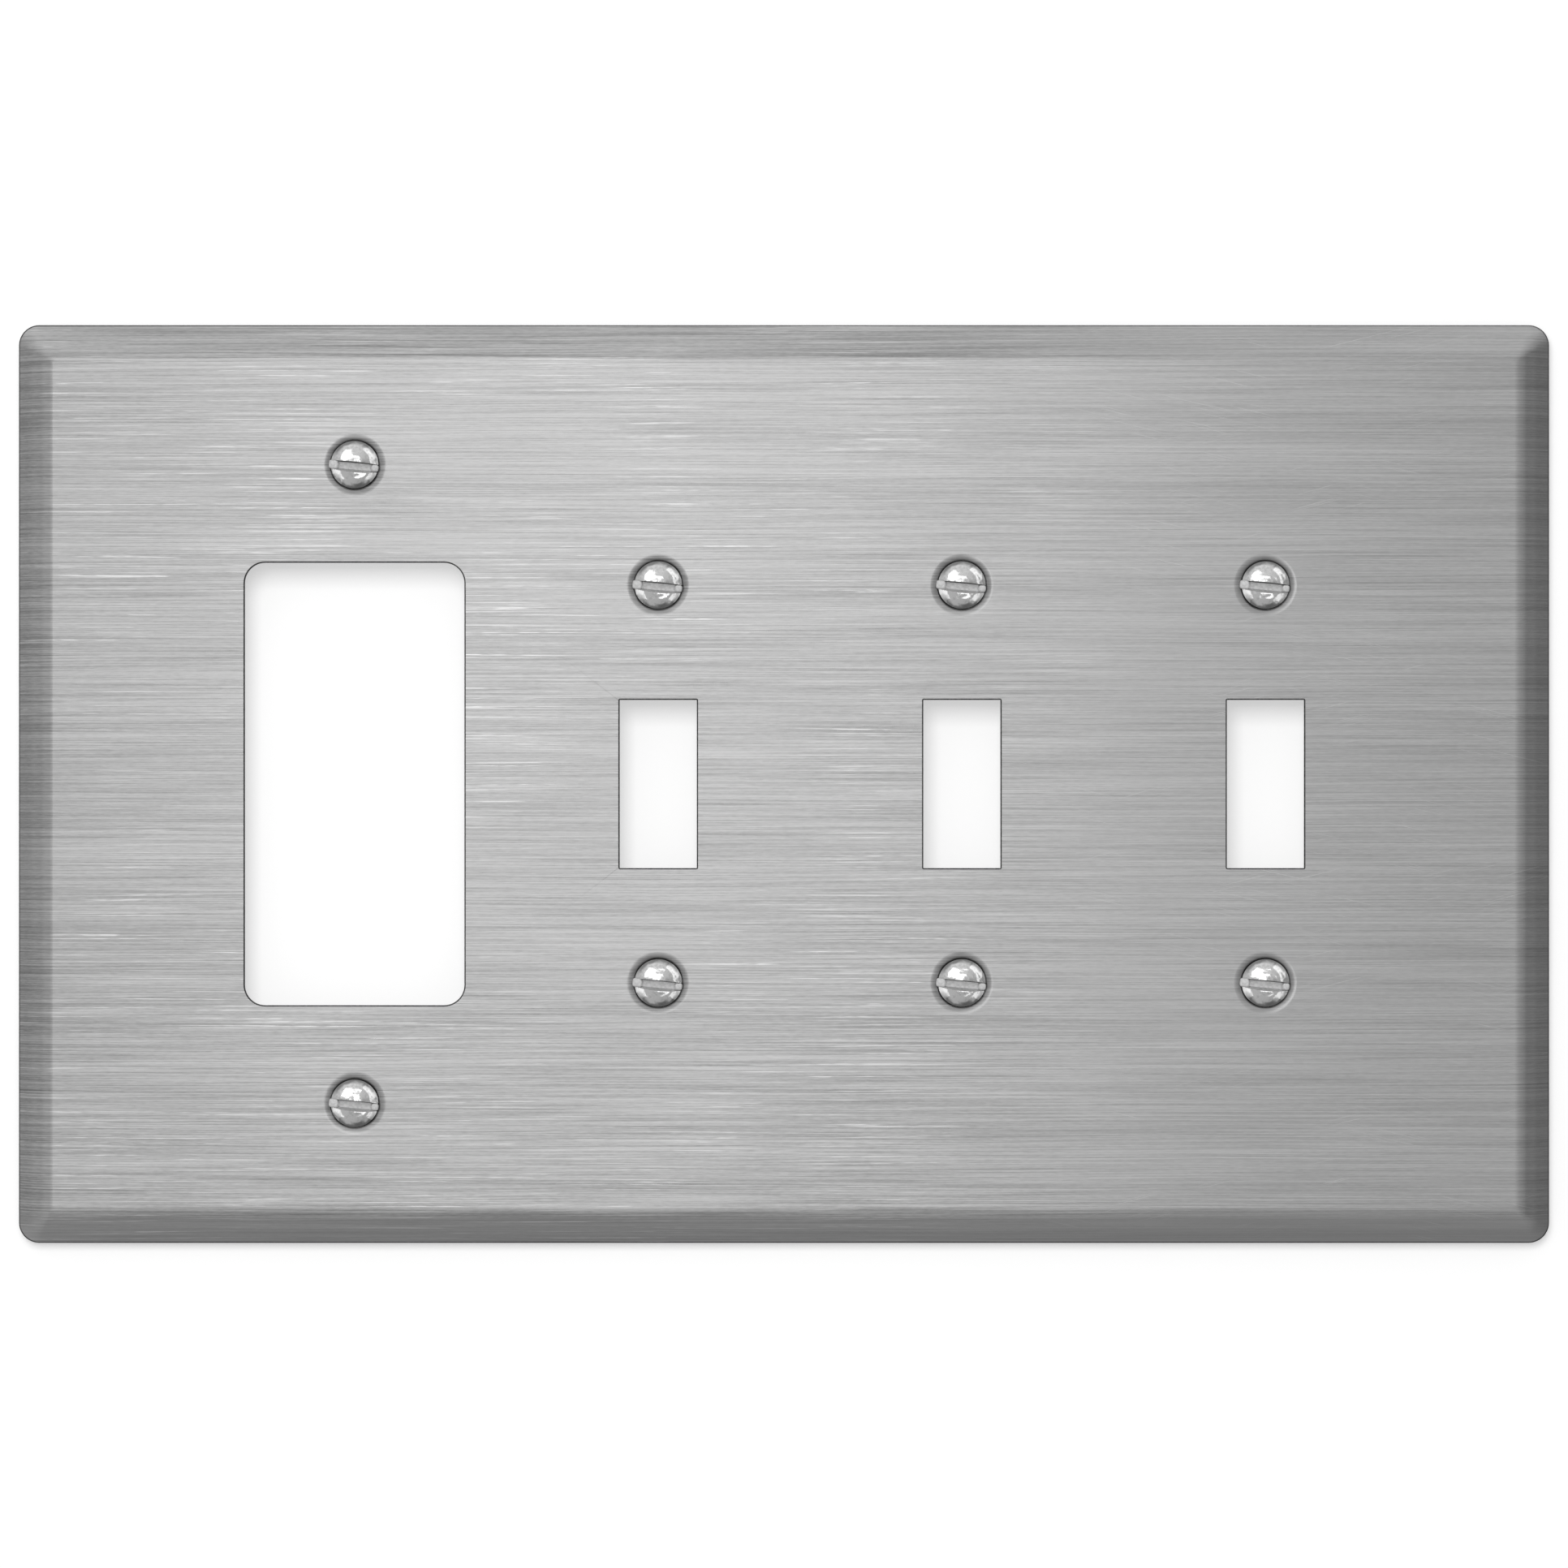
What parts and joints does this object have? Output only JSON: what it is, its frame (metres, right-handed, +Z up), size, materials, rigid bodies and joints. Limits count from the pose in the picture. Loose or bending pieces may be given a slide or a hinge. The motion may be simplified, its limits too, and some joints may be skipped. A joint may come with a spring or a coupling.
{
  "type": "combination switch wall plate",
  "caption": "Brushed steel wall plate with a rocker opening, a row of toggle switch openings and slotted oval-head plate screws.",
  "frame": {"origin": "middle of the plate's outline, on the wall's surface", "axes": "+Z up the wall, +Y into the wall, the face looks towards -Y, +X to the right for a person facing the plate"},
  "size_m": [0.2328, 0.0139, 0.1396],
  "materials": {
    "plate_steel": "stainless steel brushed along the plate, satin",
    "screw_nickel": "bright nickel plate, lightly mottled"
  },
  "bodies": {
    "plate": {"wall_plate": "plate_steel"},
    "rocker_screw_top": {"rocker_screw_top": "screw_nickel"},
    "rocker_screw_bottom": {"rocker_screw_bottom": "screw_nickel"},
    "toggle_1_screw_top": {"toggle_1_screw_top": "screw_nickel"},
    "toggle_1_screw_bottom": {"toggle_1_screw_bottom": "screw_nickel"},
    "toggle_2_screw_top": {"toggle_2_screw_top": "screw_nickel"},
    "toggle_2_screw_bottom": {"toggle_2_screw_bottom": "screw_nickel"},
    "toggle_3_screw_top": {"toggle_3_screw_top": "screw_nickel"},
    "toggle_3_screw_bottom": {"toggle_3_screw_bottom": "screw_nickel"}
  },
  "joints": [
    {"name": "rocker_screw_top_back_out", "type": "slide", "parent": "plate", "child": "rocker_screw_top", "axis": [0, -1, 0], "range_m": [0, 0.014]},
    {"name": "rocker_screw_bottom_back_out", "type": "slide", "parent": "plate", "child": "rocker_screw_bottom", "axis": [0, -1, 0], "range_m": [0, 0.014]},
    {"name": "toggle_1_screw_top_back_out", "type": "slide", "parent": "plate", "child": "toggle_1_screw_top", "axis": [0, -1, 0], "range_m": [0, 0.014]},
    {"name": "toggle_1_screw_bottom_back_out", "type": "slide", "parent": "plate", "child": "toggle_1_screw_bottom", "axis": [0, -1, 0], "range_m": [0, 0.014]},
    {"name": "toggle_2_screw_top_back_out", "type": "slide", "parent": "plate", "child": "toggle_2_screw_top", "axis": [0, -1, 0], "range_m": [0, 0.014]},
    {"name": "toggle_2_screw_bottom_back_out", "type": "slide", "parent": "plate", "child": "toggle_2_screw_bottom", "axis": [0, -1, 0], "range_m": [0, 0.014]},
    {"name": "toggle_3_screw_top_back_out", "type": "slide", "parent": "plate", "child": "toggle_3_screw_top", "axis": [0, -1, 0], "range_m": [0, 0.014]},
    {"name": "toggle_3_screw_bottom_back_out", "type": "slide", "parent": "plate", "child": "toggle_3_screw_bottom", "axis": [0, -1, 0], "range_m": [0, 0.014]}
  ]
}
